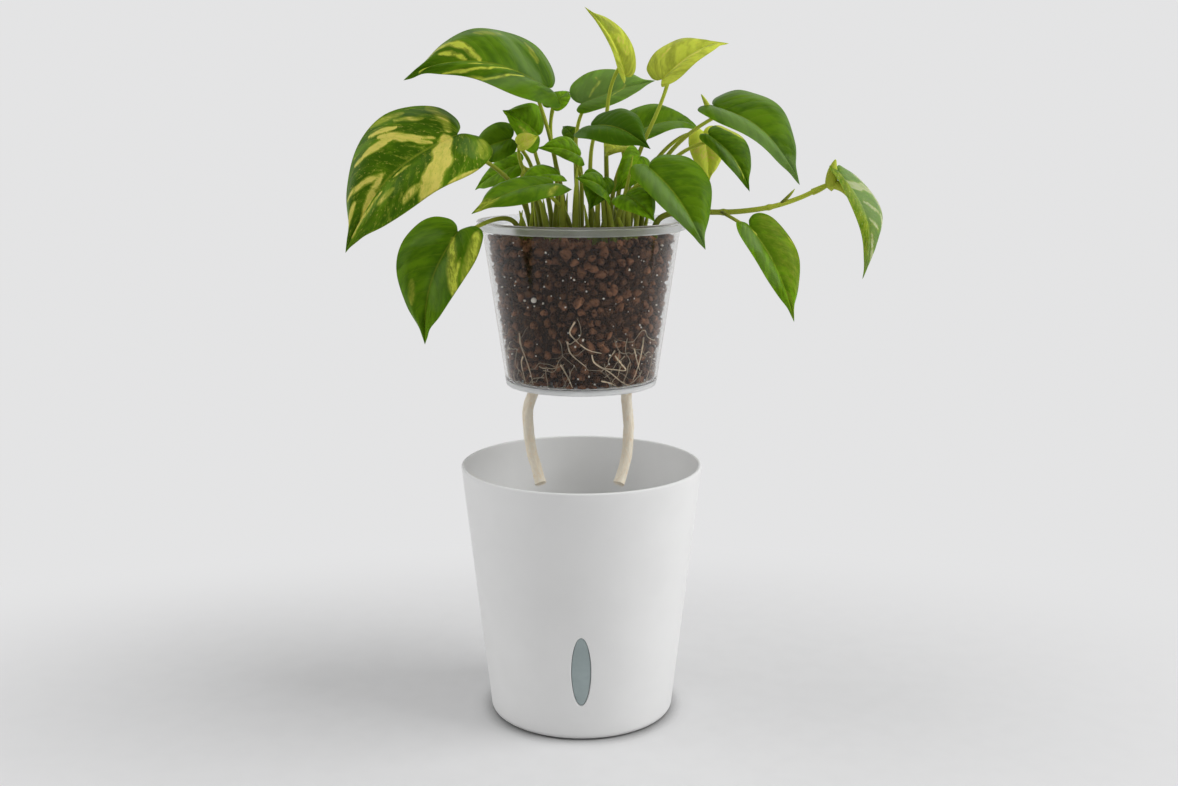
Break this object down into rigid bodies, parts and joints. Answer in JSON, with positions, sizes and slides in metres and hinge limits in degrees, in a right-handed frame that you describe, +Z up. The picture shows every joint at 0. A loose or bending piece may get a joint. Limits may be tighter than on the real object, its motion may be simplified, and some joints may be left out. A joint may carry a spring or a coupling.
{
  "type": "self-watering pot",
  "caption": "White tapered reservoir pot with a water window and a clear lift-out insert, wicked from below, that holds a trailing variegated house plant.",
  "frame": {"origin": "under the middle of the reservoir pot's base", "axes": "+Z up, the water window looks to -Y, the runner trails to +X"},
  "size_m": [0.3171, 0.1498, 0.435],
  "materials": {
    "white_plastic": "fine satin moulding",
    "window_tint": "smoked translucent",
    "seal_rubber": "soft matte",
    "clear_plastic": "clear polished",
    "cotton_rope": "twisted cotton",
    "bark_granules": "rough damp granules",
    "stem_green": "waxy stem",
    "leaf_dark": "waxy leaf",
    "leaf_mid": "waxy leaf",
    "leaf_lime": "waxy young leaf",
    "leaf_variegated": "waxy variegated leaf"
  },
  "bodies": {
    "reservoir": {"outer_pot": "white_plastic", "window_lens": "window_tint", "window_seal": "seal_rubber"},
    "insert": {"insert_pot": "clear_plastic", "wick_left": "cotton_rope", "wick_right": "cotton_rope"},
    "rootball": {"growing_medium": "bark_granules", "runner_vine": "stem_green", "leaf_runner_hanging": "leaf_mid", "leaf_runner_tip": "leaf_variegated", "leaf_upper_left": "leaf_dark", "leaf_left_variegated": "leaf_variegated", "leaf_lower_left": "leaf_dark", "leaf_top_spear": "leaf_lime", "leaf_top_right": "leaf_lime", "leaf_right_upper": "leaf_dark", "leaf_right_mid": "leaf_dark", "leaf_right_pale": "leaf_lime", "leaf_right_front": "leaf_dark", "leaf_centre_back": "leaf_mid", "leaf_centre_dark": "leaf_dark", "leaf_left_light": "leaf_mid", "leaf_small_upper": "leaf_mid", "leaf_left_mid": "leaf_dark", "leaf_left_small": "leaf_lime", "leaf_front_left": "leaf_dark", "leaf_left_low": "leaf_mid", "leaf_front_centre": "leaf_dark", "leaf_right_back": "leaf_dark", "leaf_front_right": "leaf_mid", "leaf_centre_band": "leaf_mid", "leaf_centre_small": "leaf_dark", "leaf_centre_under": "leaf_lime", "leaf_left_inner": "leaf_mid"}
  },
  "joints": [
    {"name": "insert_lift", "type": "slide", "parent": "reservoir", "child": "insert", "axis": [0, 0, 1], "range_m": [-0.1427, 0.04]},
    {"name": "rootball_lift", "type": "slide", "parent": "insert", "child": "rootball", "axis": [0, 0, 1], "range_m": [0, 0.12]}
  ]
}
